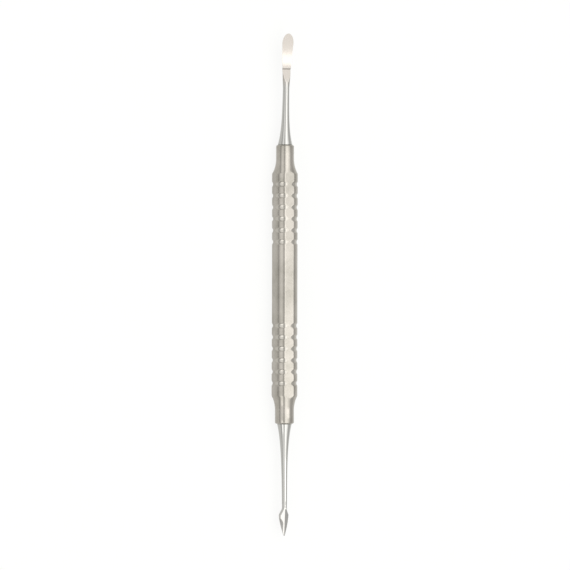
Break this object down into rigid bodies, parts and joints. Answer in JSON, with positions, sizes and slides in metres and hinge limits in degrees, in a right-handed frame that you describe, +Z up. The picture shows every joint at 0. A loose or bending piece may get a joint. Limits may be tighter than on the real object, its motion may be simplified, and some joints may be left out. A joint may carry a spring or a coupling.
{
  "type": "cuticle pusher",
  "caption": "Double-ended steel hand tool with a ring-grooved, flat-sided handle, a curved spoon blade at one end and a barbed cleaner point at the other.",
  "frame": {"origin": "on the surface the tool lies on, below the middle of its overall length", "axes": "+Y along the tool towards the pusher blade, +Z up from the flat it lies on and the way the blade curves, +X across the tool"},
  "size_m": [0.0078, 0.1656, 0.0078],
  "materials": {
    "handle_steel": "satin turned stainless steel",
    "blade_steel": "fine ground and polished stainless steel",
    "point_steel": "polished stainless steel"
  },
  "bodies": {
    "root": {"handle": "handle_steel", "pusher_end": "blade_steel", "cleaner_end": "point_steel"}
  },
  "joints": []
}
